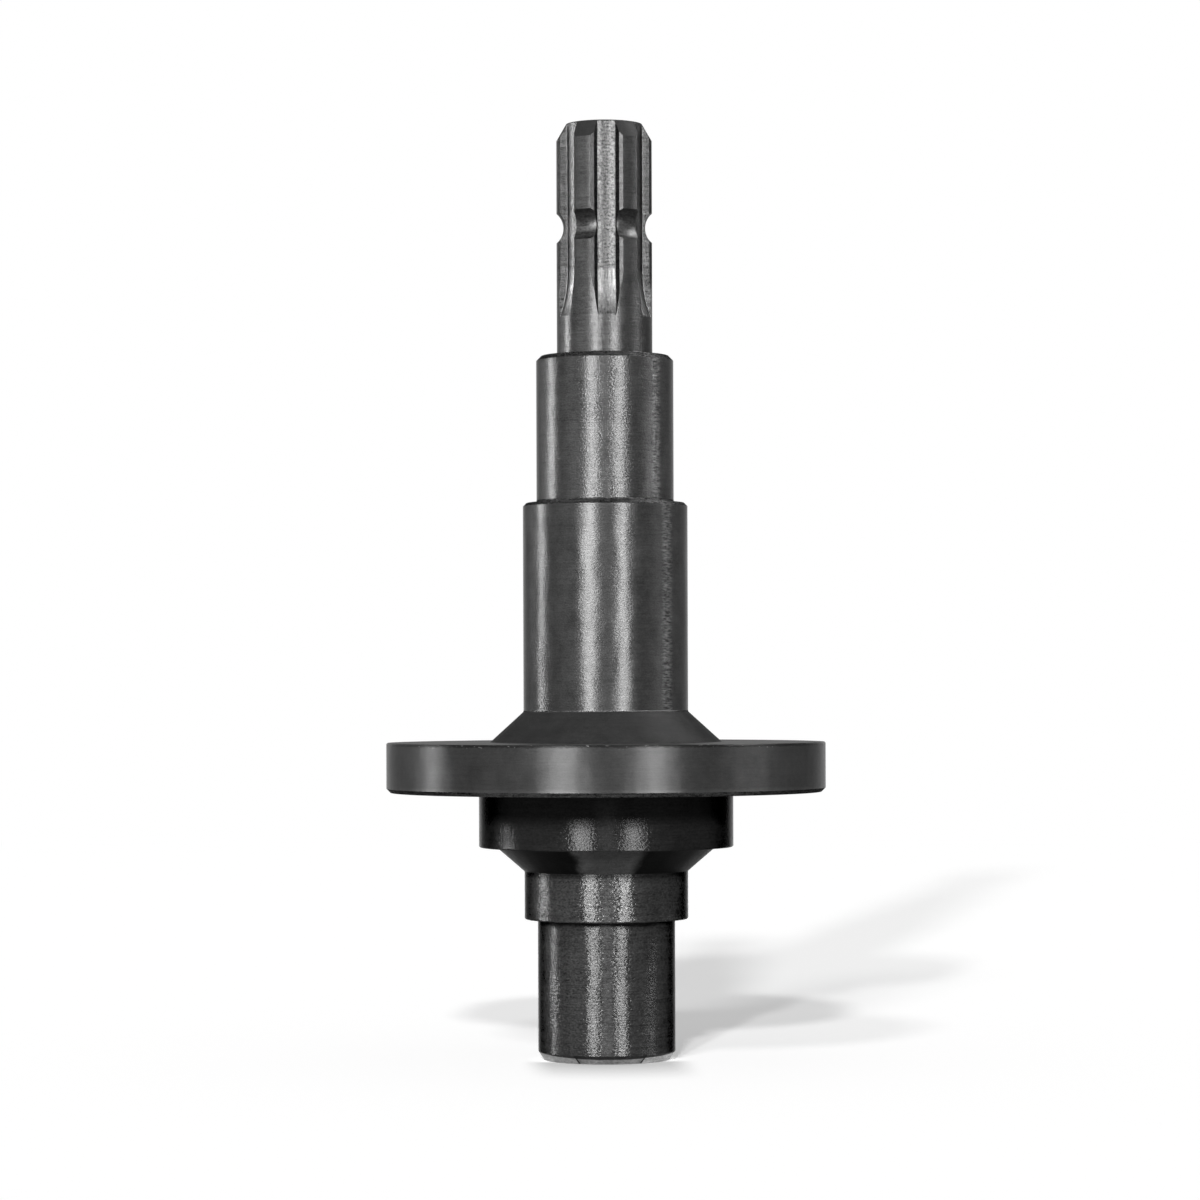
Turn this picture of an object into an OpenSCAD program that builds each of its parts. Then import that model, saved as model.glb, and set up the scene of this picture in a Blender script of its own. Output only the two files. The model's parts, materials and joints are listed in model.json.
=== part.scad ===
// Flanged splined shaft: one piece of steel, turned, and milled at its upper end.
// It stands on its lower end. The origin is the centre of that face and the axis is +Z.

/* [Lower journal] */
// Diameter of the lower bearing journal
lower_journal_d = 50; // [40:0.1:56]
// Length of the lower bearing journal
lower_journal_len = 51; // [20:0.5:120]
// Height of the lead-in chamfer at the lower end
lower_chamfer_len = 3; // [0.5:0.1:10]
// Depth of that chamfer, measured along the radius
lower_chamfer_depth = 2; // [0.5:0.1:8]

/* [Collar] */
// Diameter of the collar above the lower journal
collar_d = 59.6; // [54:0.1:72]
// Height of the collar
collar_len = 17.4; // [6:0.1:40]

/* [Lower cone] */
// Diameter at which the lower cone meets the boss
lower_cone_d = 80; // [68:0.1:88]
// Height of the lower cone
lower_cone_len = 8.8; // [4:0.1:25]

/* [Boss] */
// Diameter of the centring boss under the flange
boss_d = 92.7; // [86:0.1:140]
// Height of the centring boss
boss_len = 20; // [5:0.1:50]

/* [Flange] */
// Diameter of the flange
flange_d = 160; // [110:0.5:240]
// Thickness of the flange
flange_len = 18.1; // [6:0.1:40]
// Chamfer on the flange's lower edge
flange_chamfer = 1.5; // [0.5:0.1:4]

/* [Upper cone] */
// Diameter of the upper cone's foot, on the flange
upper_cone_d = 84.6; // [70:0.1:120]
// Height of the upper cone
upper_cone_len = 11.2; // [5:0.1:40]

/* [Main shaft] */
// Diameter of the shaft above the flange
main_shaft_d = 60; // [54:0.1:66]
// Length of the shaft above the upper cone
main_shaft_len = 75.9; // [20:0.1:200]
// Chamfer on its upper edge
main_shaft_chamfer = 1.2; // [0.3:0.1:3]

/* [Upper journal] */
// Diameter of the upper bearing journal
upper_journal_d = 50; // [40:0.1:55]
// Length of the upper bearing journal
upper_journal_len = 53.5; // [15:0.1:150]
// Chamfer on its upper edge
upper_journal_chamfer = 1.75; // [0.3:0.05:4]

/* [Splined end] */
// Diameter over the teeth, and of the plain neck below them
spline_d = 34.8; // [33:0.05:37]
// Diameter at the roots of the teeth
root_d = 28.2; // [27:0.05:31]
// Length of the splined end with its plain neck
spline_end_len = 84.4; // [75:0.1:140]
// Number of teeth
tooth_count = 6; // [4:1:8]
// Width of a tooth
tooth_w = 8.1; // [6.5:0.05:9.4]
// Chamfer along the edges of a tooth
tooth_chamfer = 0.8; // [0.3:0.05:1.2]
// Length of the valleys at full depth, from the end
valley_len = 53.7; // [46:0.1:58]
// Radius of the disc cutter that mills the valleys, which is that of their run-out
cutter_r = 45; // [30:0.5:70]
// Height of the lead-in cone at the end
lead_in_len = 6.1; // [2:0.1:12]
// Angle of that cone to the axis
lead_in_angle = 30; // [15:1:40]

/* [Locking groove] */
// Distance of the groove's middle from the end
groove_from_end = 37.8; // [25:0.1:42]
// Radius of the groove's round section
groove_r = 7.2; // [5:0.1:8]
// Diameter at the bottom of the groove
groove_bottom_d = 29.8; // [28:0.1:32]

/* [Finishing] */
// Radius in the inner corners where two diameters meet
corner_r = 1; // [0.4:0.1:2]
// Small break on the edges that have no chamfer
edge_break = 0.4; // [0.2:0.1:1]
// Mouth diameter of the 60 degree centre holes in both end faces
centre_mouth_d = 10.6; // [8:0.1:14]
// Diameter of the pilot drilling below each mouth
centre_pilot_d = 5; // [3:0.1:6.3]
// Depth of the straight pilot drilling, from the end face
centre_pilot_len = 12; // [10:0.5:25]

/* [Hidden] */
$fn = 96;

// Radii of the turned steps
lower_journal_r = lower_journal_d / 2;
collar_r = collar_d / 2;
lower_cone_r = lower_cone_d / 2;
boss_r = boss_d / 2;
flange_r = flange_d / 2;
upper_cone_r = upper_cone_d / 2;
main_shaft_r = main_shaft_d / 2;
upper_journal_r = upper_journal_d / 2;
spline_r = spline_d / 2;
root_r = root_d / 2;
groove_bottom_r = groove_bottom_d / 2;

// Heights at which one step ends and the next begins
collar_z = lower_journal_len;
lower_cone_z = collar_z + collar_len;
boss_z = lower_cone_z + lower_cone_len;
flange_z = boss_z + boss_len;
upper_cone_z = flange_z + flange_len;
main_shaft_z = upper_cone_z + upper_cone_len;
upper_journal_z = main_shaft_z + main_shaft_len;
neck_z = upper_journal_z + upper_journal_len;
end_z = neck_z + spline_end_len;

// Depth of the lead-in cone along the radius
lead_in_depth = lead_in_len * tan(lead_in_angle);

// Angle from the middle of a valley to the middle of the next tooth
half_pitch = 180 / tooth_count;
// Distance of a tooth's sharp edge from the axis, along the tooth
tooth_edge = sqrt(spline_r * spline_r - tooth_w * tooth_w / 4);
// Distance of a tooth's foot from the axis, along the tooth
tooth_foot = sqrt(root_r * root_r - tooth_w * tooth_w / 4);
// How far the milling shape reaches past the surface that it cuts
cut_over = 1;
// Turn of the cutter in which its rim rises from the root to clear of the neck
runout_angle = acos(1 - (spline_r - root_r + cut_over) / cutter_r);

// Angles of the centre holes
centre_half_angle = 30;
drill_half_angle = 59;

// A point beside a valley, in the plane across the axis with the valley's middle along +X:
// "along" is measured from the axis along the next tooth, and "aside" from its middle.
function by_tooth(along, aside) = [
    along * cos(half_pitch) + aside * sin(half_pitch),
    along * sin(half_pitch) - aside * cos(half_pitch)
];

// The same point on the other side of the valley
function other_side(p) = [p[0], -p[1]];

// Directions in the half section, in which X is the radius and Y the height
up = [0, 1];
down = [0, -1];
outward = [1, 0];
lower_slope = [lower_cone_r - collar_r, boss_z - lower_cone_z];
upper_slope = [upper_cone_r - main_shaft_r, upper_cone_z - main_shaft_z];

// The inner corners, each with the directions of its two edges as they leave it
collar_corner = [[lower_journal_r, collar_z], down, outward];
boss_corner = [[lower_cone_r, boss_z], -lower_slope, outward];
flange_corner = [[boss_r, flange_z], down, outward];
cone_foot_corner = [[upper_cone_r, upper_cone_z], outward, -upper_slope];
cone_top_corner = [[main_shaft_r, main_shaft_z], upper_slope, up];
journal_corner = [[upper_journal_r, upper_journal_z], outward, up];
neck_corner = [[spline_r, neck_z], outward, up];

// Half the angle between a corner's two edges
function half_angle(corner) = acos(corner[1] * corner[2] / norm(corner[1]) / norm(corner[2])) / 2;

// Centre of the round that touches both edges of a corner
function round_centre(corner) =
    let (bisector = corner[1] / norm(corner[1]) + corner[2] / norm(corner[2]))
    corner[0] + bisector / norm(bisector) * corner_r / sin(half_angle(corner));

// Where that round touches one of the corner's edges
function round_end(corner, edge) = corner[0] + edge / norm(edge) * corner_r / tan(half_angle(corner));

// A corner filled out to the centre of its round, which is then cut with a circle
function filled(corner) = [
    round_end(corner, corner[1]),
    round_centre(corner),
    round_end(corner, corner[2])
];

// Half section of the turned blank, before its hollows
module blank_outline() {
    difference() {
        polygon([
            [0, 0],
            [lower_journal_r - lower_chamfer_depth, 0],
            [lower_journal_r, lower_chamfer_len],
            each filled(collar_corner),
            [collar_r - edge_break, collar_z],
            [collar_r, collar_z + edge_break],
            [collar_r, lower_cone_z],
            each filled(boss_corner),
            [boss_r - edge_break, boss_z],
            [boss_r, boss_z + edge_break],
            each filled(flange_corner),
            [flange_r - flange_chamfer, flange_z],
            [flange_r, flange_z + flange_chamfer],
            [flange_r, upper_cone_z - edge_break],
            [flange_r - edge_break, upper_cone_z],
            each filled(cone_foot_corner),
            each filled(cone_top_corner),
            [main_shaft_r, upper_journal_z - main_shaft_chamfer],
            [main_shaft_r - main_shaft_chamfer, upper_journal_z],
            each filled(journal_corner),
            [upper_journal_r, neck_z - upper_journal_chamfer],
            [upper_journal_r - upper_journal_chamfer, neck_z],
            each filled(neck_corner),
            [spline_r, end_z - lead_in_len],
            [spline_r - lead_in_depth, end_z],
            [0, end_z]
        ]);
        for (corner = [
            collar_corner, boss_corner, flange_corner, cone_foot_corner,
            cone_top_corner, journal_corner, neck_corner
        ]) translate(round_centre(corner)) circle(corner_r);
    }
}

// Half section of a centre hole that opens downwards at height 0
module centre_hole_outline() {
    mouth_r = centre_mouth_d / 2;
    pilot_r = centre_pilot_d / 2;
    polygon([
        [0, 0],
        [mouth_r, 0],
        [pilot_r, (mouth_r - pilot_r) / tan(centre_half_angle)],
        [pilot_r, centre_pilot_len],
        [0, centre_pilot_len + pilot_r / tan(drill_half_angle)]
    ]);
}

// The turned blank, with its locking groove and its centre holes
module turned_blank() {
    rotate_extrude() difference() {
        blank_outline();
        translate([groove_bottom_r + groove_r, end_z - groove_from_end]) circle(groove_r);
        centre_hole_outline();
        translate([0, end_z]) mirror([0, 1]) centre_hole_outline();
    }
}

// Section of the metal that the form cutter takes from one valley, with its middle along +X
module valley_section() {
    inner = by_tooth(tooth_foot - cut_over, tooth_w / 2);
    chamfer_foot = by_tooth(tooth_edge - tooth_chamfer, tooth_w / 2);
    chamfer_reach = tooth_chamfer + cut_over;
    chamfer_end = by_tooth(tooth_edge + cut_over, tooth_w / 2 - chamfer_reach);
    top = [spline_r + cut_over, chamfer_end[1]];
    side = [inner, chamfer_foot, chamfer_end, top];
    difference() {
        polygon(concat(side, [for (i = [len(side) - 1 : -1 : 0]) other_side(side[i])]));
        circle(root_r);
    }
}

// One milled valley: straight from the end, then along the rim of the disc cutter as it leaves
module valley() {
    runout_z = end_z - valley_len;
    cutter_axis_x = root_r + cutter_r;
    translate([0, 0, runout_z]) linear_extrude(valley_len + cut_over) valley_section();
    translate([cutter_axis_x, 0, runout_z]) rotate([90, 180, 0]) rotate_extrude(angle = runout_angle)
        translate([cutter_axis_x, 0]) mirror([1, 0]) valley_section();
}

// The whole shaft, turned so that a valley faces the front
module shaft() {
    front = -90;
    color("dimgray") difference() {
        turned_blank();
        for (i = [0 : tooth_count - 1]) rotate([0, 0, front + i * 2 * half_pitch]) valley();
    }
}

shaft();
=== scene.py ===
import json
from math import acos, atan2, cos, pi, radians, sin, sqrt, tan

import bmesh
import bpy
from bpy.props import FloatProperty, FloatVectorProperty, IntProperty, PointerProperty
from mathutils import Matrix, Vector


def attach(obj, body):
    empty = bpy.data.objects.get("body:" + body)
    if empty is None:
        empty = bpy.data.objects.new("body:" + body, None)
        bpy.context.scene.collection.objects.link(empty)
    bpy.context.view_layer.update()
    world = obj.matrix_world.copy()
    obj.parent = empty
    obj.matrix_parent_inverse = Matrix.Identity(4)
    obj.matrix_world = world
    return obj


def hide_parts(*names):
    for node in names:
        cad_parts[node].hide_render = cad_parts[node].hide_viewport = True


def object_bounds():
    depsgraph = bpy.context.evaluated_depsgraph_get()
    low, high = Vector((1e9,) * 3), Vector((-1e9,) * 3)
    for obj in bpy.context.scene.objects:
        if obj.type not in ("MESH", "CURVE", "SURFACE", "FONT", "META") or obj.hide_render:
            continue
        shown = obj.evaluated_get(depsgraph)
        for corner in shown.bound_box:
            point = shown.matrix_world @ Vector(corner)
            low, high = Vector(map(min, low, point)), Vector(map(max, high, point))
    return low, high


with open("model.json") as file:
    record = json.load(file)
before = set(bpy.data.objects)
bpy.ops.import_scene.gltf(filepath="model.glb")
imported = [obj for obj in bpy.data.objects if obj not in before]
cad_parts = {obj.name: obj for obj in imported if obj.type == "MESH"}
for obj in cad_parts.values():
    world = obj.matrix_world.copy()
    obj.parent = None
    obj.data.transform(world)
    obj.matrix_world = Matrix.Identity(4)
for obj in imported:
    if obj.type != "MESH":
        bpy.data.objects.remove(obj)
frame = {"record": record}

bl_info = {
    "name": "Flanged Splined Shaft",
    "version": (1, 0),
    "blender": (4, 5, 0),
    "location": "3D View > Sidebar > Shaft",
    "description": "Turns, mills and finishes a flanged shaft with a splined end, and sets out its stage",
    "category": "Add Mesh",
}

MM = 0.001
CAD_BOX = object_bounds()


def mount(name):
    """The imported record's mount of that name."""
    return next(m for m in frame["record"]["mounts"] if m["name"] == name)


def mount_d(name):
    """Diameter of a pin mount, in metres."""
    return 2 * mount(name)["dims"]["r_mm"] * MM


UNDERSIDE_Z = mount("flange_underside")["pos_m"][2]
SHAFT_LEN = CAD_BOX[1].z - CAD_BOX[0].z
FLANGE_D = CAD_BOX[1].x - CAD_BOX[0].x


def length(name, text, default):
    """A size that the user can change, in metres."""
    return FloatProperty(name=name, description=text, default=default, min=0, precision=5, unit="LENGTH")


def grey(name, text, level):
    """A colour that the user can change, in linear light, which starts as a plain grey."""
    return FloatVectorProperty(
        name=name, description=text, default=(level, level, level), min=0, max=1, size=3, subtype="COLOR")


class TurnedSizes(bpy.types.PropertyGroup):
    """Diameters and heights of the turned steps"""
    lower_journal_d: length("Lower journal", "Diameter of the lower journal", mount_d("lower_journal"))
    collar_z: length("Collar height", "Height at which the collar begins", 51 * MM)
    collar_d: length("Collar", "Diameter of the collar", 59.6 * MM)
    lower_cone_z: length("Lower cone height", "Height at which the lower cone begins", 68.4 * MM)
    lower_cone_d: length("Lower cone", "Diameter at which the lower cone meets the boss", 80 * MM)
    boss_z: length("Boss height", "Height at which the boss begins", 77.2 * MM)
    boss_d: length("Boss", "Diameter of the centring boss", mount_d("centring_boss"))
    flange_z: length("Flange height", "Height of the flange's underside", UNDERSIDE_Z)
    flange_d: length("Flange", "Diameter of the flange", FLANGE_D)
    flange_len: length("Flange thickness", "Thickness of the flange", 18.1 * MM)
    upper_cone_d: length("Upper cone", "Diameter of the upper cone's foot", 84.6 * MM)
    upper_cone_len: length("Upper cone height", "Height of the upper cone", 11.2 * MM)
    main_shaft_d: length("Main shaft", "Diameter of the shaft above the flange", mount_d("main_shaft"))
    upper_journal_z: length("Upper journal height", "Height at which the upper journal begins", 202.4 * MM)
    upper_journal_d: length("Upper journal", "Diameter of the upper journal", mount_d("upper_journal"))
    neck_z: length("Neck height", "Height at which the splined end begins", 255.9 * MM)
    corner_r: length("Corner round", "Radius in the inner corners", 1 * MM)
    edge_break: length("Edge break", "Small chamfer on the plain edges", 0.4 * MM)
    sides: IntProperty(
        name="Sides", description="Corners of each turned ring", default=240, min=48, max=480)


class SplineSizes(bpy.types.PropertyGroup):
    """Sizes of the splined end and of the centre holes"""
    spline_d: length("Spline", "Diameter over the teeth and of the neck", 34.8 * MM)
    root_d: length("Roots", "Diameter at the roots of the teeth", 28.2 * MM)
    tooth_count: IntProperty(name="Teeth", description="Number of teeth", default=6, min=4, max=8)
    tooth_w: length("Tooth width", "Width of a tooth", 8.1 * MM)
    tooth_chamfer: length("Tooth chamfer", "Chamfer along a tooth's edges", 0.8 * MM)
    foot_r: length("Foot round", "Round at the foot of a tooth", 0.35 * MM)
    valley_len: length("Valley", "Length of the valleys at full depth", 53.7 * MM)
    cutter_r: length("Cutter", "Radius of the disc cutter", 45 * MM)
    lead_in_len: length("Lead-in", "Height of the lead-in cone", 6.1 * MM)
    groove_from_end: length("Groove", "Distance of the groove's middle from the end", 37.8 * MM)
    groove_r: length("Groove round", "Radius of the groove's section", 7.2 * MM)
    groove_bottom_d: length("Groove bottom", "Diameter at the groove's bottom", 29.8 * MM)
    mouth_d: length("Centre hole", "Mouth of the centre holes", 10.6 * MM)
    pilot_d: length("Pilot", "Diameter of their pilot drilling", 5 * MM)
    pilot_len: length("Pilot depth", "Depth of the straight pilot drilling", 12 * MM)


class SteelColours(bpy.types.PropertyGroup):
    """Colours of the steel's finishes"""
    neck: grey("Neck", "Colour of the neck and of the tops of the teeth", 0.049)
    upper_journal: grey("Upper journal", "Colour of the upper journal", 0.046)
    main_shaft: grey("Main shaft", "Colour of the shaft above the flange", 0.041)
    collar: grey("Collar", "Colour of the collar", 0.049)
    lower_journal: grey("Lower journal", "Colour of the lower journal", 0.045)
    matte_cone: grey("Matte cones", "Colour of the upper cone and the lead-in cone", 0.025)
    # The lower cone's colour at the front, where a painted reflection lies; painted shade darkens the rest
    painted_sheen_cone: grey("Lower cone", "Colour of the lower cone where it was rubbed", 0.056)
    boss: grey("Boss", "Colour of the centring boss", 0.024)
    flange_rim: grey("Flange rim", "Colour of the flange's rim", 0.037)
    faced: grey("Flat faces", "Colour of the faces across the axis", 0.04)
    base_chamfer: grey("Base chamfer", "Colour of the bare metal at the lower end's chamfer", 0.48)
    dark_edge: grey("Dark edges", "Colour of the chamfers on the upper steps and under the flange", 0.035)
    # The corner's colour is a painted highlight
    bright_corner: grey("Bright corner", "Colour of the bright line at the main shaft's foot", 0.15)
    groove: grey("Groove", "Colour of the locking groove", 0.038)
    milled_floor: grey("Valley floor", "Colour of the valleys' floors", 0.041)
    milled_flank: grey("Tooth flank", "Colour of the teeth's flanks", 0.032)
    milled_chamfer: grey("Tooth chamfer", "Colour of the chamfers along the teeth", 0.022)


class StageSettings(bpy.types.PropertyGroup):
    """Place of the camera, and levels of the lamps and the floor"""
    camera_distance: length("Camera distance", "From the shaft's axis to the camera", 1.44)
    camera_height: length("Camera height", "Height of the camera above the floor", 134.3 * MM)
    camera_azimuth: FloatProperty(
        name="Camera azimuth", description="Angle of the camera round the shaft from the front",
        default=radians(-3.3), subtype="ANGLE")
    camera_roll: FloatProperty(
        name="Camera roll", description="Lean of the camera", default=radians(0.19), subtype="ANGLE")
    lens: FloatProperty(name="Lens", description="Focal length in millimetres", default=118.5, min=20)
    shift_across: FloatProperty(
        name="Shift across", description="Sideways shift of the view, as a part of its width",
        default=-0.0048)
    shift_up: FloatProperty(
        name="Shift up", description="Upward shift of the view, as a part of its width", default=0.075)
    strip_level: FloatProperty(
        name="Strip level", description="Brightness of the strip lamps", default=88, min=0)
    floor_glow: FloatProperty(
        name="Floor glow", description="White that the floor adds to what lights it", default=0.41, min=0)
    floor: grey("Floor", "Colour of the floor's paper", 0.8)


OUT = Vector((1, 0))
UP = Vector((0, 1))
CHAMFER_LEN = 3 * MM
CHAMFER_DEPTH = 2 * MM
FLANGE_CHAMFER = 1.5 * MM
SHAFT_CHAMFER = 1.2 * MM
JOURNAL_CHAMFER = 1.75 * MM
LEAD_IN_ANGLE = radians(30)
CENTRE_ANGLE = radians(30)
DRILL_ANGLE = radians(59)

# How far the cutter's shape reaches past the metal that it cuts
CUT_OVER = 1 * MM
# How far the cutter moves along a valley in one turn
CUTTER_FEED = 1.28 * MM
# Places of the cutter's finishes in its list of materials
FLOOR, FLANK, TOOTH_CHAMFER = range(3)

# How far sideways a normal of the cutter points where it cuts a tooth's flank
FLANK_NORMAL = 0.8

# Points closer than this are one point
WELD = 0.002 * MM
# Edges sharper than this stay sharp
SMOOTH_ANGLE = radians(28)
# How far a face's normal points up where the face counts as sloped, and as flat across the axis
SLOPED = 0.1
FLAT = 0.9

# Factors that give each grain its own place in the noise along X, Y and Z, from its seed
SEED_STEPS = (1, 1.7, 0.6)

# Distance of the strip lamps from the axis, and their power for each square metre at level 1
STRIP_AWAY = 1.3
STRIP_POWER = 4
# Each strip lamp's name, azimuth in degrees, width in metres, share of the strip level,
# and the heights of its bottom and top in metres
STRIPS = (
    ("strip_left", -106, 0.22, 0.9, 0.39, 0.60),
    ("strip_front_left", -25.4, 0.38, 1, 0.39, 0.60),
    ("strip_front_right", 21.0, 0.34, 0.95, 0.39, 0.60),
    ("strip_between", -2, 0.24, 0.03, 0.16, 0.60),
    ("strip_right", 97, 0.20, 0.7, 1.0, 1.9),
    ("strip_left_fill", -62, 0.70, 0.035, 0.62, 1.3),
    ("strip_left_rear", -129, 0.45, 0.05, 0.39, 0.60),
)
# Each sun's name, azimuth, elevation and spread in degrees, and how bright it makes a white floor
SUNS = (
    ("shaft_shadow", -8.7, 26, 4.0, 0.26),
    ("side_shadow", -22, 38, 8, 0.16),
    ("long_shadow", -14.3, 12.8, 2.5, 0.17),
)
# Light that the surroundings throw on the shaft and the floor
WORLD_LEVEL = 0.15


def deselect():
    """Leaves object mode's selection empty."""
    if bpy.context.object and bpy.context.object.mode == "EDIT":
        bpy.ops.object.mode_set(mode="OBJECT")
    bpy.ops.object.select_all(action="DESELECT")


def select_points(test):
    """Selects the vertices of the mesh in edit mode whose places pass the test."""
    bpy.ops.mesh.select_mode(type="VERT")
    bpy.ops.mesh.select_all(action="DESELECT")
    shape = bmesh.from_edit_mesh(bpy.context.object.data)
    chosen = [point for point in shape.verts if test(point.co)]
    if not chosen:
        raise RuntimeError("nothing to select in " + bpy.context.object.name)
    for point in chosen:
        point.select_set(True)
    shape.select_flush_mode()
    bmesh.update_edit_mesh(bpy.context.object.data)


def corner_round(corner, before, after, radius, steps=6):
    """Points of the round in an inner corner, whose edges leave it along before and after."""
    before = before.normalized()
    after = after.normalized()
    half = before.angle(after) / 2
    centre = corner + (before + after).normalized() * radius / sin(half)
    start = corner + before * radius / tan(half) - centre
    end = corner + after * radius / tan(half) - centre
    sweep = start.angle_signed(end)
    return [centre + Matrix.Rotation(-sweep * i / steps, 2) @ start for i in range(steps + 1)]


def blank_section(turned, spline):
    """Half section of the turned blank, as points of radius and height from end to end."""
    lower = turned.lower_journal_d / 2
    collar = turned.collar_d / 2
    cone_out = turned.lower_cone_d / 2
    boss = turned.boss_d / 2
    flange = turned.flange_d / 2
    foot = turned.upper_cone_d / 2
    main = turned.main_shaft_d / 2
    journal = turned.upper_journal_d / 2
    over_teeth = spline.spline_d / 2
    mouth = spline.mouth_d / 2
    pilot = spline.pilot_d / 2
    mouth_len = (mouth - pilot) / tan(CENTRE_ANGLE)
    flange_top = turned.flange_z + turned.flange_len
    cone_top = flange_top + turned.upper_cone_len
    small = turned.edge_break
    r = turned.corner_r
    lower_slope = Vector((cone_out - collar, turned.boss_z - turned.lower_cone_z))
    upper_slope = Vector((foot - main, flange_top - cone_top))
    groove_at = Vector((spline.groove_bottom_d / 2 + spline.groove_r, SHAFT_LEN - spline.groove_from_end))
    groove_half = acos((groove_at.x - over_teeth) / spline.groove_r)
    groove_steps = 20
    return [
        Vector((pilot, mouth_len)),
        Vector((mouth, 0)),
        Vector((lower - CHAMFER_DEPTH, 0)),
        Vector((lower, CHAMFER_LEN)),
        *corner_round(Vector((lower, turned.collar_z)), -UP, OUT, r),
        Vector((collar - small, turned.collar_z)),
        Vector((collar, turned.collar_z + small)),
        Vector((collar, turned.lower_cone_z)),
        *corner_round(Vector((cone_out, turned.boss_z)), -lower_slope, OUT, r),
        Vector((boss - small, turned.boss_z)),
        Vector((boss, turned.boss_z + small)),
        *corner_round(Vector((boss, turned.flange_z)), -UP, OUT, r),
        Vector((flange - FLANGE_CHAMFER, turned.flange_z)),
        Vector((flange, turned.flange_z + FLANGE_CHAMFER)),
        Vector((flange, flange_top - small)),
        Vector((flange - small, flange_top)),
        *corner_round(Vector((foot, flange_top)), OUT, -upper_slope, r),
        *corner_round(Vector((main, cone_top)), upper_slope, UP, r),
        Vector((main, turned.upper_journal_z - SHAFT_CHAMFER)),
        Vector((main - SHAFT_CHAMFER, turned.upper_journal_z)),
        *corner_round(Vector((journal, turned.upper_journal_z)), OUT, UP, r),
        Vector((journal, turned.neck_z - JOURNAL_CHAMFER)),
        Vector((journal - JOURNAL_CHAMFER, turned.neck_z)),
        *corner_round(Vector((over_teeth, turned.neck_z)), OUT, UP, r),
        *[groove_at + Vector((-cos(a), sin(a))) * spline.groove_r for a in
          (groove_half * (2 * i / groove_steps - 1) for i in range(groove_steps + 1))],
        Vector((over_teeth, SHAFT_LEN - spline.lead_in_len)),
        Vector((over_teeth - spline.lead_in_len * tan(LEAD_IN_ANGLE), SHAFT_LEN)),
        Vector((mouth, SHAFT_LEN)),
        Vector((pilot, SHAFT_LEN - mouth_len)),
        Vector((pilot, SHAFT_LEN - spline.pilot_len)),
    ]


def turn(ring, section):
    """Extrudes the selected ring from point to point of the section."""
    for point in section:
        bpy.ops.mesh.extrude_region_move(TRANSFORM_OT_translate={"value": (0, 0, point.y - ring.y)})
        scale = point.x / ring.x
        bpy.ops.transform.resize(value=(scale, scale, 1), center_override=(0, 0, point.y))
        ring = point


def turned_blank(turned, spline):
    """The blank, extruded ring by ring from the point of its lower drilling to that of its upper one."""
    pilot = spline.pilot_d / 2
    tip = pilot / tan(DRILL_ANGLE)
    tip_middle = spline.pilot_len + tip / 2
    deselect()
    bpy.ops.mesh.primitive_cone_add(
        vertices=turned.sides, radius1=pilot, radius2=0, depth=tip, end_fill_type="NOTHING",
        location=(0, 0, tip_middle))
    blank = bpy.context.object
    blank.name = "turned_shaft"
    bpy.ops.object.transform_apply(location=True, rotation=True, scale=True)
    bpy.ops.object.mode_set(mode="EDIT")
    select_points(lambda place: place.z < tip_middle)
    bpy.ops.mesh.select_mode(type="EDGE")
    turn(Vector((pilot, spline.pilot_len)), blank_section(turned, spline))
    bpy.ops.mesh.extrude_region_move(TRANSFORM_OT_translate={"value": (0, 0, -tip)})
    bpy.ops.mesh.merge(type="CENTER")
    bpy.ops.mesh.select_all(action="SELECT")
    bpy.ops.mesh.remove_doubles(threshold=WELD)
    bpy.ops.mesh.normals_make_consistent(inside=False)
    bpy.ops.object.mode_set(mode="OBJECT")
    return blank


def valley_section(spline):
    """Outline of the metal taken from the front valley, in the plane across the axis.

    The valley's middle faces -Y, and the points run from its left side to its right one.
    """
    half_pitch = pi / spline.tooth_count
    over_teeth = spline.spline_d / 2
    root = spline.root_d / 2
    half_tooth = spline.tooth_w / 2
    round_r = spline.foot_r

    def beside(along, aside):
        """A point given along the next tooth and away from its middle, turned to the valley."""
        return Vector((
            along * sin(half_pitch) - aside * cos(half_pitch),
            -along * cos(half_pitch) - aside * sin(half_pitch)))

    tooth_edge = sqrt(over_teeth ** 2 - half_tooth ** 2)
    reach = spline.tooth_chamfer + CUT_OVER
    chamfer_end = beside(tooth_edge + CUT_OVER, half_tooth - reach)
    chamfer_foot = beside(tooth_edge - spline.tooth_chamfer, half_tooth)
    # The foot round touches the flank and the root circle from outside it
    round_along = sqrt((root + round_r) ** 2 - (half_tooth + round_r) ** 2)
    round_centre = beside(round_along, half_tooth + round_r)
    flank_end = beside(round_along, half_tooth)
    root_start = round_centre.normalized() * root
    start = flank_end - round_centre
    sweep = start.angle_signed(root_start - round_centre)
    round_steps = 3
    foot = [
        round_centre + Matrix.Rotation(-sweep * i / round_steps, 2) @ start
        for i in range(round_steps + 1)]
    side = [Vector((chamfer_end.x, -over_teeth - CUT_OVER)), chamfer_end, chamfer_foot, *foot]
    root_angle = atan2(root_start.x, -root_start.y)
    root_steps = 12
    floor = [
        Vector((sin(a), -cos(a))) * root for a in
        (root_angle * (1 - 2 * i / root_steps) for i in range(1, root_steps))]
    mirrored = [Vector((-p.x, p.y)) for p in reversed(side)]
    return side + floor + mirrored


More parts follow.
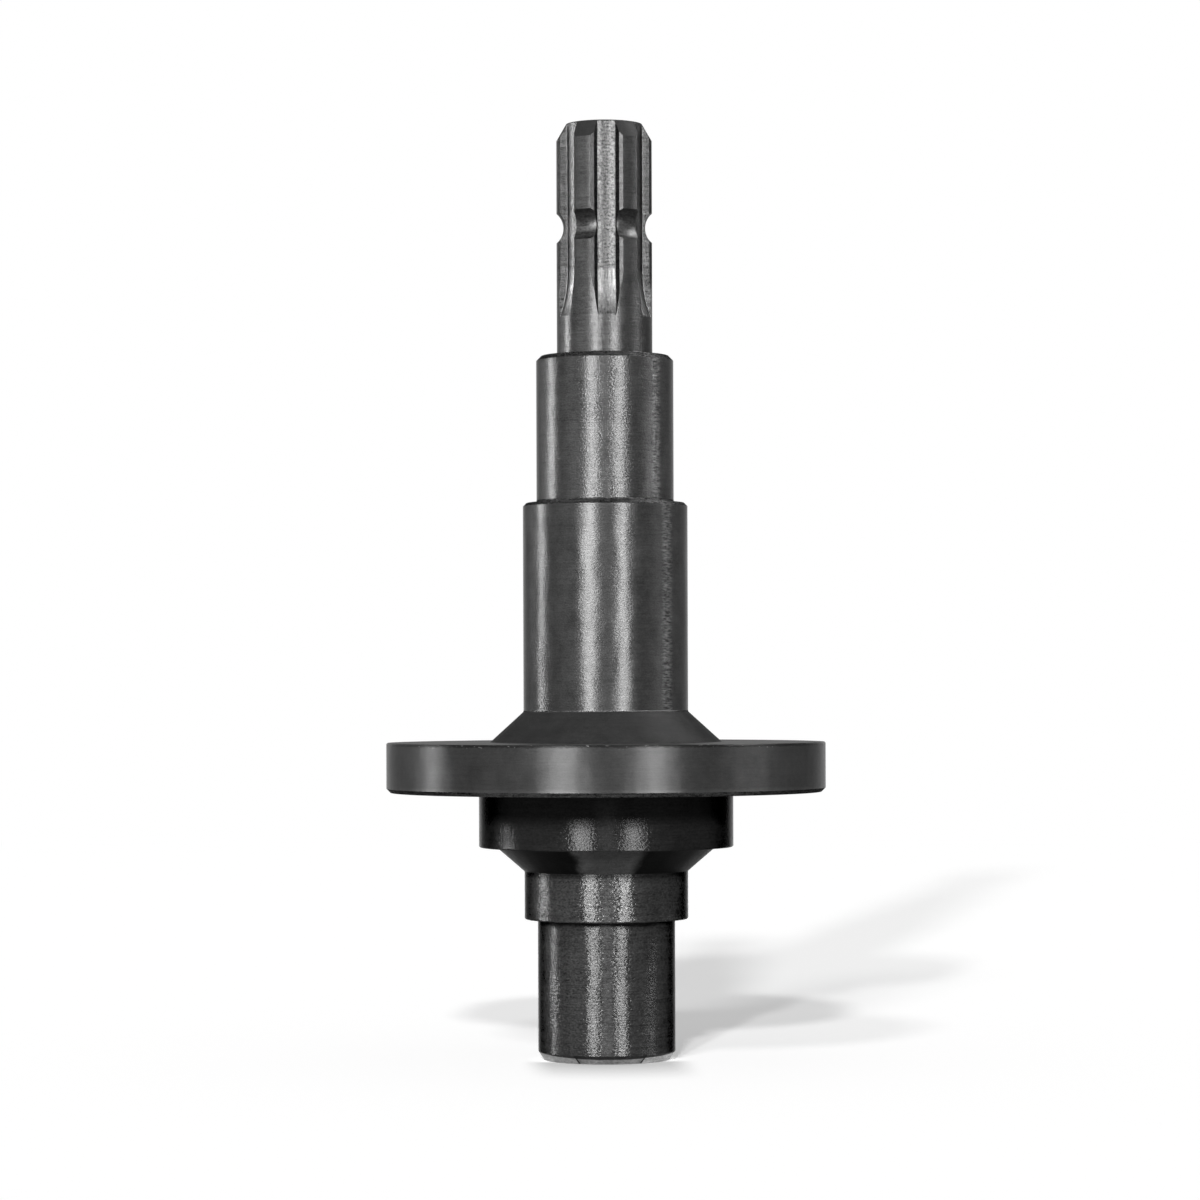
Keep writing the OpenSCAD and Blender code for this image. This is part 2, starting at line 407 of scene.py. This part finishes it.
def form_cutter(spline, finishes):
    """What the disc cutter clears from every valley: straight from the end, then out along its rim."""
    outline = valley_section(spline)
    chamfer_foot_x = abs(outline[2].x)
    top = SHAFT_LEN + CUT_OVER
    runout_z = SHAFT_LEN - spline.valley_len
    root = spline.root_d / 2
    rise = spline.spline_d / 2 - root + CUT_OVER
    runout_angle = acos(1 - rise / spline.cutter_r)
    deselect()
    bpy.ops.mesh.primitive_plane_add(size=MM, location=(outline[0].x, outline[0].y, top))
    cutter = bpy.context.object
    cutter.name = "form_cutter"
    bpy.ops.object.transform_apply(location=True, rotation=True, scale=True)
    bpy.ops.object.mode_set(mode="EDIT")
    bpy.ops.mesh.select_mode(type="VERT")
    bpy.ops.mesh.select_all(action="SELECT")
    bpy.ops.mesh.merge(type="CENTER")
    for here, there in zip(outline, outline[1:]):
        step = there - here
        bpy.ops.mesh.extrude_vertices_move(TRANSFORM_OT_translate={"value": (step.x, step.y, 0)})
    bpy.ops.mesh.select_all(action="SELECT")
    bpy.ops.mesh.edge_face_add()
    bpy.ops.mesh.select_mode(type="FACE")
    bpy.ops.mesh.extrude_region_move(TRANSFORM_OT_translate={"value": (0, 0, runout_z - top)})
    bpy.ops.mesh.spin(
        steps=14, angle=runout_angle, center=(0, -root - spline.cutter_r, runout_z), axis=(1, 0, 0))
    bpy.ops.mesh.select_all(action="SELECT")
    bpy.ops.mesh.normals_make_consistent(inside=False)
    bpy.ops.object.mode_set(mode="OBJECT")
    for finish in finishes:
        cutter.data.materials.append(finish)
    # The run-out turns about X, so a normal's X is the same all along one cut
    for face in cutter.data.polygons:
        if abs(face.normal.x) > FLANK_NORMAL:
            face.material_index = FLANK
        elif abs(face.center.x) > chamfer_foot_x:
            face.material_index = TOOTH_CHAMFER
        else:
            face.material_index = FLOOR
    bpy.ops.object.mode_set(mode="EDIT")
    bpy.ops.mesh.select_all(action="SELECT")
    for i in range(1, spline.tooth_count):
        bpy.ops.mesh.duplicate_move()
        bpy.ops.transform.rotate(
            value=2 * pi / spline.tooth_count, orient_axis="Z", orient_type="GLOBAL",
            center_override=(0, 0, 0))
    bpy.ops.object.mode_set(mode="OBJECT")
    return cutter


def mill(blank, cutter):
    """Takes the cutter's shape out of the blank and puts the cutter away."""
    deselect()
    bpy.context.view_layer.objects.active = blank
    blank.select_set(True)
    cut = blank.modifiers.new("valleys", "BOOLEAN")
    cut.operation = "DIFFERENCE"
    cut.solver = "EXACT"
    cut.material_mode = "TRANSFER"
    cut.object = cutter
    bpy.ops.object.modifier_apply(modifier=cut.name)
    bpy.data.objects.remove(cutter, do_unlink=True)


class Value:
    """A node's output socket. Sums written with it add their Math nodes."""

    def __init__(self, finish, socket):
        self.finish = finish
        self.socket = socket

    def maths(self, operation, *values):
        """A Math node on these values."""
        return self.finish.node("ShaderNodeMath", {"operation": operation}, dict(enumerate(values)))

    def __add__(self, other):
        return self.maths("ADD", self, other)

    def __sub__(self, other):
        return self.maths("SUBTRACT", self, other)

    def __rsub__(self, other):
        return self.maths("SUBTRACT", other, self)

    def __mul__(self, other):
        return self.maths("MULTIPLY", self, other)

    def __truediv__(self, other):
        return self.maths("DIVIDE", self, other)

    def __rtruediv__(self, other):
        return self.maths("DIVIDE", other, self)

    def __pow__(self, other):
        return self.maths("POWER", self, other)

    def __rpow__(self, other):
        return self.maths("POWER", other, self)

    def __neg__(self):
        return self.maths("MULTIPLY", self, -1.0)

    def __abs__(self):
        return self.maths("ABSOLUTE", self)

    def at_most(self, other):
        return self.maths("MINIMUM", self, other)

    def at_least(self, other):
        return self.maths("MAXIMUM", self, other)

    __radd__ = __add__
    __rmul__ = __mul__


class Finish:
    """The nodes of a new material or world, and the one method that adds to them."""

    def __init__(self, owner):
        owner.use_nodes = True
        self.tree = owner.node_tree
        self.tree.nodes.clear()

    def node(self, kind, settings=None, values=None, output=0):
        """Adds a node, sets it up, fills its inputs and gives its output."""
        made = self.tree.nodes.new(kind)
        for name, setting in (settings or {}).items():
            setattr(made, name, setting)
        for name, value in (values or {}).items():
            if isinstance(value, Value):
                self.tree.links.new(value.socket, made.inputs[name])
            else:
                made.inputs[name].default_value = value
        return Value(self, made.outputs[output]) if made.outputs else None


class Place:
    """Where a point of a piece is, for the finish on it."""

    def __init__(self, finish):
        self.finish = finish
        self.point = finish.node("ShaderNodeTexCoord", output="Object")

    def part(self, axis):
        """One coordinate of the point."""
        return self.finish.node("ShaderNodeSeparateXYZ", {}, {"Vector": self.point}, axis)

    def turn(self):
        """Angle round the shaft from the front, positive towards the right, in radians."""
        across = self.part("X")
        return across.maths("ARCTAN2", across, -self.part("Y"))


def between(value, low, high):
    """0 below low, 1 above high, and smooth between."""
    return value.finish.node(
        "ShaderNodeMapRange", {"interpolation_type": "SMOOTHSTEP"},
        {"Value": value, "From Min": low, "From Max": high, "To Min": 0.0, "To Max": 1.0})


def band(value, start, full, fade, end):
    """1 between full and fade, and 0 below start and above end."""
    return between(value, start, full) * (1.0 - between(value, fade, end))


def darker(value, start, full, amount):
    """1 below start, and less by the amount above full."""
    return 1.0 - between(value, start, full) * amount


def grain(place, size, seed, detail=1.0, roughness=0.5):
    """Noise about zero, whose grains have that size in millimetres along X, Y and Z."""
    stretched = place.finish.node(
        "ShaderNodeVectorMath", {"operation": "MULTIPLY_ADD"},
        {0: place.point, 1: [1 / (side * MM) for side in size], 2: [seed * step for step in SEED_STEPS]})
    return place.finish.node(
        "ShaderNodeTexNoise", {"noise_dimensions": "3D"},
        {"Vector": stretched, "Scale": 1.0, "Detail": detail, "Roughness": roughness}) - 0.5


def painted_light_and_scuffs(place, cloud, stroke, front_sheen, highlight_and_scuffs, right_shade):
    """Painted sheen at the front, a painted highlight with scuffs at the right, painted shade on the right
    side.

    The angles round the shaft are in radians, and the clouds make the edges uneven.
    """
    angle = place.turn() + cloud * 0.05
    front = 1.0 - between(abs(angle + 0.05), 0.03, 0.13)
    strip = band(angle, start=0.66, full=0.74, fade=0.82, end=0.90)
    side = between(angle, 0.32, 0.60)
    # front is a painted sheen, strip a painted highlight with scuffs, and side painted shade
    return 1.0 + front * front_sheen + strip * (highlight_and_scuffs + stroke * (highlight_and_scuffs * 8)) - side * right_shade


def steel(name, colour, rough, stretch=0.9, rings=0.02, strokes=0.03, pits=0.05, drift=0.3, clouds=1.0,
          speckle=0.6, pit_size=0.5, stroke_size=2.4, edge=0.55, front_sheen=0.0, highlight_and_scuffs=0.0, right_shade=0.0,
          seed=0.0, shade=None):
    """Satin steel, whose highlights are stretched along the axis.

    rings, strokes, pits and drift are the heights of its relief in millimetres, and pit_size and
    stroke_size the sizes of its grains. clouds and speckle say how much its colour varies, and edge
    tints what it reflects at a low angle. The three amounts after edge give a painted sheen at the front,
    a painted highlight with scuffs on a strip at the right, and painted shade on the right side. shade
    multiplies the colour of one surface's finish by its own pattern, which on most surfaces is painted
    light or shade.
    """
    material = bpy.data.materials.new(name)
    finish = Finish(material)
    place = Place(finish)
    ring = grain(place, (30, 30, 0.7), seed)
    stroke = grain(place, (stroke_size, stroke_size, 0.6), seed + 11)
    pit = grain(place, (pit_size, pit_size, pit_size * 0.7), seed + 3)
    wave = grain(place, (9, 9, 22), seed + 5)
    cloud = grain(place, (7, 7, 9), seed + 7, detail=4.0, roughness=0.65)
    level = 1.0 + cloud * clouds + pit * speckle + stroke * (speckle * 0.6) + ring * (speckle * 0.5)
    # Painted sheen, a painted highlight with scuffs, and painted shade, on the steels that have them
    if front_sheen or highlight_and_scuffs or right_shade:
        level = level * painted_light_and_scuffs(place, cloud, stroke, front_sheen, highlight_and_scuffs, right_shade)
    if shade:
        level = level * shade(place, cloud)
    tint = finish.node(
        "ShaderNodeVectorMath", {"operation": "SCALE"}, {0: colour, "Scale": level.at_least(0.05)})
    roughness = rough + pit * 0.1 + cloud * 0.12
    height = ring * rings + stroke * strokes + pit * pits + wave * drift
    bump = finish.node("ShaderNodeBump", {}, {"Strength": 1.0, "Distance": MM, "Height": height})
    shader = finish.node(
        "ShaderNodeBsdfPrincipled", {},
        {"Base Color": tint, "Roughness": roughness, "Normal": bump, "Metallic": 1.0,
         "Anisotropic": stretch, "Anisotropic Rotation": 0.25, "Specular Tint": (edge, edge, edge, 1.0)})
    finish.node("ShaderNodeOutputMaterial", {}, {"Surface": shader})
    return material


def uneven_height(place, cloud, reach, start):
    """Height above the start, which the clouds make uneven by about a quarter of the reach."""
    return place.part("Z") + cloud * reach - start


def under_flange_painted_shade(place, cloud):
    """Painted shade under the flange, plain below."""
    height = uneven_height(place, cloud, 4 * MM, bpy.context.scene.shaft_turned.flange_z)
    return darker(height, start=-12.7 * MM, full=-6.7 * MM, amount=0.68)


def groove_painted_shade(place, cloud):
    """Painted shade in the groove's upper half, which faces down."""
    middle = SHAFT_LEN - bpy.context.scene.shaft_spline.groove_from_end
    height = uneven_height(place, cloud, 2 * MM, middle)
    return darker(height, start=-1.5 * MM, full=3.5 * MM, amount=0.5)


def cone_painted_sheen(place, cloud):
    """Painted reflection at the front of the lower cone, and painted shade elsewhere."""
    off_front = abs(place.turn() + (0.04 + cloud * 0.2))
    return darker(off_front, start=0.24, full=0.38, amount=0.9)


def painted_corner_highlight(place, cloud):
    """Painted highlight on a short stretch of the shaft's foot, right of the middle, and faint elsewhere.
    """
    across = place.part("X") + cloud * (6 * MM)
    return 0.3 + band(across, start=10 * MM, full=15 * MM, fade=23 * MM, end=27 * MM)


def base_shade(place, cloud):
    """The base chamfer is dark above a line that dips at the front, and has two scribed lines."""
    height = place.part("Z")
    off_middle = abs(place.part("X"))
    skin_height = height - (off_middle / (24 * MM)) ** 2.0 * MM + cloud * (0.4 * MM)
    # The scribed lines lean, and the chamfer is darker in between them and at the far left
    aside = off_middle - height * 0.72
    scribed = band(aside, start=10.5 * MM, full=10.7 * MM, fade=11.1 * MM, end=11.3 * MM)
    bare = 0.55 + between(aside, 10.8 * MM, 11.0 * MM) * 0.45
    left = darker(-place.part("X"), start=8 * MM, full=12 * MM, amount=0.35)
    skin = darker(skin_height, start=1.5 * MM, full=1.8 * MM, amount=0.86)
    return bare * (1.0 - scribed * 0.9) * left * skin


def rim_shade(place, cloud):
    """Painted highlight along the flange's lower edge; a dark ragged line with painted glints at its upper
    edge.
    """
    turned = bpy.context.scene.shaft_turned
    chip_and_glint = grain(place, (1.6, 1.6, 0.6), 41)
    height = uneven_height(place, cloud, 0.8 * MM, turned.flange_z) + chip_and_glint * (1.4 * MM)
    lower = 1.0 - between(height, 2 * MM, 3 * MM)
    upper = between(height - turned.flange_len, -1.2 * MM, -0.7 * MM)
    # lower is a painted highlight line, and the brightest grains at the upper edge are painted glints
    return 1.0 + lower * 0.25 + upper * (between(chip_and_glint, 0.16, 0.22) * 2.5 - 0.5)


def collar_painted_shade(place, cloud):
    """Painted shade along the collar's upper edge, under the lower cone."""
    height = uneven_height(place, cloud, 2 * MM, bpy.context.scene.shaft_turned.lower_cone_z)
    return darker(height, start=-2.6 * MM, full=-0.6 * MM, amount=0.6)


def under_collar_painted_shade(place, cloud):
    """Painted shade on the lower journal, close under the collar."""
    height = uneven_height(place, cloud, 4 * MM, bpy.context.scene.shaft_turned.collar_z)
    return darker(height, start=-2.4 * MM, full=-0.6 * MM, amount=0.85)


def valley_floor_shade(place, cloud):
    """Dimples and the cutter's marks on a valley's floor, and bright streaks where the cutter runs out."""
    runout_z = SHAFT_LEN - bpy.context.scene.shaft_spline.valley_len
    height = place.part("Z") - runout_z
    streak = grain(place, (0.5, 0.5, 7), 21)
    dimple = grain(place, (0.9, 0.9, 0.8), 31, detail=2.0, roughness=0.6)
    wave = place.part("Z") * (2 * pi / CUTTER_FEED)
    marks = wave.maths("SINE", wave) * (1.0 - between(abs(place.part("X")), 0.7 * MM, 1.7 * MM))
    in_runout = 1.0 - between(height, -0.6 * MM, 0.4 * MM)
    lower = 1.0 - between(height, -7.6 * MM, -2.6 * MM)
    near_end = 1.0 - between(height, -18.6 * MM, -11.6 * MM)
    milled = (1.0 - in_runout) * (dimple * 3.2 + marks * 0.2)
    return 1.0 + milled + in_runout * (streak * 3.6 + dimple * 1.6 + lower * 0.65 + 0.65) - near_end * 0.95


def face_finishes(turned, spline, colours):
    """The turned finishes, each with the test that finds its faces by height, radius and normal."""
    neck = steel(
        "neck_skin", colours.neck, rough=0.40, stretch=0.85, rings=0.04, strokes=0.08, drift=0.15,
        speckle=0.9, front_sheen=0.4, right_shade=0.3)
    seat = steel(
        "journal_skin", colours.upper_journal, rough=0.37, rings=0.01, strokes=0.045, pits=0.08, drift=0.15,
        speckle=0.9, pit_size=0.6, front_sheen=0.4, highlight_and_scuffs=0.4, seed=0.5)
    main = steel(
        "main_shaft_skin", colours.main_shaft, rough=0.35, stretch=0.8, rings=0.01, pits=0.04,
        pit_size=0.65, highlight_and_scuffs=0.5, seed=1)
    collar = steel(
        "collar_skin", colours.collar, rough=0.34, stretch=1.0, strokes=0.10, stroke_size=1.5,
        pits=0.077, pit_size=0.85, speckle=1.6, edge=0.35, front_sheen=0.7, right_shade=0.35, seed=2,
        shade=collar_painted_shade)
    lower = steel(
        "lower_journal_skin", colours.lower_journal, rough=0.34, stretch=1.0, strokes=0.09, stroke_size=1.6,
        pits=0.07, pit_size=0.85, speckle=1.5, edge=0.35, front_sheen=0.7, right_shade=0.25, seed=4,
        shade=under_collar_painted_shade)
    cone = steel(
        "matte_cone", colours.matte_cone, rough=0.6, stretch=0.3, clouds=0.6, speckle=0.5, edge=0.4, seed=5)
    # The lower cone, with a painted reflection at the front and painted shade elsewhere
    painted_sheen_cone = steel("dark_cone", colours.painted_sheen_cone, rough=0.45, stretch=0.6, seed=6, shade=cone_painted_sheen)
    boss = steel(
        "boss_skin", colours.boss, rough=0.33, stretch=1.0, pits=0.08, pit_size=0.9, drift=0.15,
        speckle=1.0, edge=0.4, front_sheen=0.3, right_shade=0.3, seed=8, shade=under_flange_painted_shade)
    rim = steel(
        "flange_rim", colours.flange_rim, rough=0.43, rings=0.015, strokes=0.02, pits=0.01, drift=0.15,
        clouds=0.8, speckle=0.4, seed=9, shade=rim_shade)
    faced = steel("faced", colours.faced, rough=0.5, stretch=0.3, seed=10)
    base = steel(
        "base_chamfer", colours.base_chamfer, rough=0.4, stretch=0.3, pits=0.08, pit_size=0.9, clouds=0.8,
        speckle=1.0, seed=11, shade=base_shade)
    dark_edge = steel(
        "dark_edge", colours.dark_edge, rough=0.5, stretch=0.3, pits=0.1, drift=0.0, speckle=3.0,
        edge=0.1, seed=15)
    # A painted highlight along the main shaft's foot
    bright_corner = steel(
        "bright_corner", colours.bright_corner, rough=0.35, stretch=0.2, drift=0.0, clouds=2.0, seed=16,
        shade=painted_corner_highlight)
    groove = steel(
        "groove_skin", colours.groove, rough=0.37, stretch=0.2, rings=0.01, pits=0.06, pit_size=0.9,
        drift=0.1, clouds=1.2, speckle=1.5, seed=17, shade=groove_painted_shade)
    flange_top = turned.flange_z + turned.flange_len
    cone_top = flange_top + turned.upper_cone_len
    chamfers_r = turned.upper_journal_d / 2 - JOURNAL_CHAMFER
    lead_in_z = SHAFT_LEN - spline.lead_in_len
    groove_z = SHAFT_LEN - spline.groove_from_end
    # A face of the groove lies clearly below the tops of the teeth
    in_groove = spline.spline_d / 2 - 0.05 * MM
    return [
        (neck, lambda h, r, n: True),
        (seat, lambda h, r, n: turned.upper_journal_z < h < turned.neck_z),
        (main, lambda h, r, n: cone_top < h < turned.upper_journal_z),
        (lower, lambda h, r, n: h < turned.collar_z),
        (collar, lambda h, r, n: turned.collar_z < h < turned.lower_cone_z),
        (painted_sheen_cone, lambda h, r, n: turned.lower_cone_z < h < turned.boss_z),
        (boss, lambda h, r, n: turned.boss_z < h < turned.flange_z),
        (rim, lambda h, r, n: turned.flange_z < h < flange_top),
        (cone, lambda h, r, n: (flange_top < h < cone_top and n > SLOPED) or h > lead_in_z),
        (faced, lambda h, r, n: abs(n) > FLAT),
        # The part of the corner round that is close to the main shaft, which carries a painted highlight
        (bright_corner, lambda h, r, n: 0 < h - cone_top < turned.corner_r and 0.05 < n < 0.5),
        (groove, lambda h, r, n: abs(h - groove_z) < spline.groove_r and r < in_groove),
        (dark_edge, lambda h, r, n: (h > cone_top and r > chamfers_r and SLOPED < n < FLAT) or
            (turned.flange_z < h < turned.flange_z + FLANGE_CHAMFER and n < -SLOPED)),
        (base, lambda h, r, n: h < CHAMFER_LEN and r > spline.mouth_d / 2 and -FLAT < n < -SLOPED),
    ]


def cutter_finishes(colours):
    """The finishes that the cutter leaves on the floors, the flanks and the tooth chamfers."""
    floor = steel(
        "milled_floor", colours.milled_floor, rough=0.38, stretch=0.3, rings=0.0, pits=0.08, drift=0.1,
        clouds=0.6, speckle=0.5, seed=12, shade=valley_floor_shade)
    flank = steel(
        "milled_flank", colours.milled_flank, rough=0.42, stretch=0.3, rings=0.0, strokes=0.0, pits=0.10,
        drift=0.1, clouds=0.6, speckle=3.0, seed=13)
    chamfer = steel(
        "milled_chamfer", colours.milled_chamfer, rough=0.38, stretch=0.3, rings=0.0, strokes=0.02,
        pits=0.06, drift=0.1, clouds=0.8, speckle=1.4, seed=14)
    return [floor, flank, chamfer]


class SHAFT_OT_turned_shaft(bpy.types.Operator):
    """Turn the blank, mill its valleys and give each face its finish"""
    bl_idname = "shaft.turned_shaft"
    bl_label = "Turned Shaft"

    def execute(self, context):
        turned = context.scene.shaft_turned
        spline = context.scene.shaft_spline
        colours = context.scene.shaft_colours
        blank = turned_blank(turned, spline)
        finishes = face_finishes(turned, spline, colours)
        for finish, test in finishes:
            blank.data.materials.append(finish)
        for face in blank.data.polygons:
            centre = face.center
            for i, (finish, test) in enumerate(finishes):
                if test(centre.z, Vector((centre.x, centre.y)).length, face.normal.z):
                    face.material_index = i
        mill(blank, form_cutter(spline, cutter_finishes(colours)))
        deselect()
        context.view_layer.objects.active = blank
        blank.select_set(True)
        bpy.ops.object.shade_smooth_by_angle(angle=SMOOTH_ANGLE)
        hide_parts("shaft")
        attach(blank, "root")
        return {"FINISHED"}


def strip_lamp(name, azimuth, width, level, bottom, top):
    """A tall strip lamp that stands round the shaft at an azimuth in degrees and faces its axis."""
    height = top - bottom
    angle = radians(azimuth)
    deselect()
    bpy.ops.object.light_add(
        type="AREA", location=(STRIP_AWAY * sin(angle), -STRIP_AWAY * cos(angle), (top + bottom) / 2),
        rotation=(pi / 2, 0, angle))
    lamp = bpy.context.object
    lamp.name = name
    lamp.data.shape = "RECTANGLE"
    lamp.data.size = width
    lamp.data.size_y = height
    lamp.data.energy = STRIP_POWER * level * width * height
    lamp.visible_camera = False
    lamp.visible_diffuse = False


def shadow_sun(name, azimuth, elevation, spread, level):
    """A far soft lamp that throws the shaft's shadow on the floor and shows in no reflection."""
    deselect()
    bpy.ops.object.light_add(type="SUN", rotation=(pi / 2 - radians(elevation), 0, radians(azimuth)))
    lamp = bpy.context.object
    lamp.name = name
    lamp.data.angle = radians(spread)
    lamp.data.energy = pi * level / sin(radians(elevation))
    lamp.visible_glossy = False


def seen_rays(finish):
    """1 on rays from the camera, also after a reflection or through glass, and 0 on the rest."""
    camera_ray = finish.node("ShaderNodeLightPath", output="Is Camera Ray")
    glossy_ray = finish.node("ShaderNodeLightPath", output="Is Glossy Ray")
    passing_ray = finish.node("ShaderNodeLightPath", output="Is Transmission Ray")
    return (camera_ray + glossy_ray + passing_ray).at_most(1.0)


def studio_world():
    """White behind the shaft and in its reflections, and dim for what is lit by it."""
    world = bpy.data.worlds.new("studio")
    bpy.context.scene.world = world
    finish = Finish(world)
    strength = WORLD_LEVEL + seen_rays(finish) * (1 - WORLD_LEVEL)
    background = finish.node("ShaderNodeBackground", {}, {"Color": (1, 1, 1, 1), "Strength": strength})
    finish.node("ShaderNodeOutputWorld", {}, {"Surface": background})


def floor_paper(stage):
    """Pale paper, white where nothing shades it, plain white far from the shaft, and clear from below."""
    material = bpy.data.materials.new("floor_paper")
    finish = Finish(material)
    place = Place(finish)
    seen = seen_rays(finish)
    glow = finish.node(
        "ShaderNodeEmission", {}, {"Color": (1, 1, 1, 1), "Strength": seen * stage.floor_glow})
    paper = finish.node("ShaderNodeBsdfDiffuse", {}, {"Color": (*stage.floor, 1)})
    open_floor = finish.node("ShaderNodeAddShader", {}, {0: glow, 1: paper})
    # Painted contact shadow right in front of the shaft's foot, where the floor sees little light
    black = finish.node("ShaderNodeBsdfDiffuse", {}, {"Color": (0, 0, 0, 1)})
    contact = finish.node("ShaderNodeAmbientOcclusion", {"samples": 16}, {"Distance": 60 * MM}, "AO")
    in_front = between(-place.part("Y"), 5 * MM, 15 * MM)
    beside = between(abs(place.part("X")), 20 * MM, 33 * MM)
    painted_contact_shadow = in_front * (1.0 - beside) * (1.0 - contact ** 4.0) * 0.5
    near = finish.node("ShaderNodeMixShader", {}, {0: painted_contact_shadow, 1: open_floor, 2: black})
    far = finish.node("ShaderNodeEmission", {}, {"Color": (1, 1, 1, 1), "Strength": 0.5 + seen * 0.5})
    away = finish.node("ShaderNodeVectorMath", {"operation": "LENGTH"}, {0: place.point}, "Value")
    lit = finish.node("ShaderNodeMixShader", {}, {0: between(away, 1.5, 2.1), 1: near, 2: far})
    clear = finish.node("ShaderNodeBsdfTransparent")
    below = finish.node("ShaderNodeNewGeometry", output="Backfacing")
    both = finish.node("ShaderNodeMixShader", {}, {0: below, 1: lit, 2: clear})
    finish.node("ShaderNodeOutputMaterial", {}, {"Surface": both})
    return material


def studio_floor(stage):
    """A wide floor, just below the face that the shaft stands on."""
    deselect()
    bpy.ops.mesh.primitive_plane_add(size=60, location=(0, 0, -0.2 * MM))
    floor = bpy.context.object
    floor.name = "studio_floor"
    bpy.ops.object.transform_apply(location=True, rotation=True, scale=True)
    floor.data.materials.append(floor_paper(stage))


def photo_camera(stage):
    """The camera, level but for its roll, at the photo's viewing angle."""
    angle = stage.camera_azimuth
    away = stage.camera_distance
    bpy.ops.object.camera_add(
        location=(sin(angle) * away, -cos(angle) * away, stage.camera_height), rotation=(pi / 2, 0, angle))
    camera = bpy.context.object
    camera.name = "photo_camera"
    camera.matrix_world = camera.matrix_world @ Matrix.Rotation(-stage.camera_roll, 4, "Z")
    camera.data.lens = stage.lens
    camera.data.sensor_width = 36
    camera.data.shift_x = stage.shift_across
    camera.data.shift_y = stage.shift_up
    return camera


class SHAFT_OT_stage(bpy.types.Operator):
    """Set out the floor, the lamps, the world and the camera"""
    bl_idname = "shaft.stage"
    bl_label = "Stage"

    def execute(self, context):
        stage = context.scene.shaft_stage
        studio_floor(stage)
        for name, azimuth, width, share, bottom, top in STRIPS:
            strip_lamp(name, azimuth, width, stage.strip_level * share, bottom, top)
        for name, azimuth, elevation, spread, level in SUNS:
            shadow_sun(name, azimuth, elevation, spread, level)
        studio_world()
        context.scene.camera = photo_camera(stage)
        context.scene.view_settings.view_transform = "Standard"
        return {"FINISHED"}


class SHAFT_PT_sidebar(bpy.types.Panel):
    """Lists the steps that make the shaft and its stage"""
    bl_label = "Flanged Splined Shaft"
    bl_space_type = "VIEW_3D"
    bl_region_type = "UI"
    bl_category = "Shaft"

    def draw(self, context):
        for operator in (SHAFT_OT_turned_shaft, SHAFT_OT_stage):
            self.layout.operator(operator.bl_idname)


CLASSES = (
    TurnedSizes, SplineSizes, SteelColours, StageSettings,
    SHAFT_OT_turned_shaft, SHAFT_OT_stage, SHAFT_PT_sidebar,
)


def register():
    """Makes the classes and their settings known to Blender."""
    for cls in CLASSES:
        bpy.utils.register_class(cls)
    bpy.types.Scene.shaft_turned = PointerProperty(type=TurnedSizes)
    bpy.types.Scene.shaft_spline = PointerProperty(type=SplineSizes)
    bpy.types.Scene.shaft_colours = PointerProperty(type=SteelColours)
    bpy.types.Scene.shaft_stage = PointerProperty(type=StageSettings)


def unregister():
    """Takes them away again."""
    del bpy.types.Scene.shaft_stage
    del bpy.types.Scene.shaft_colours
    del bpy.types.Scene.shaft_spline
    del bpy.types.Scene.shaft_turned
    for cls in reversed(CLASSES):
        bpy.utils.unregister_class(cls)


def main():
    register()
    bpy.ops.shaft.turned_shaft()
    bpy.ops.shaft.stage()
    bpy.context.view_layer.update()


if __name__ == "__main__":
    main()
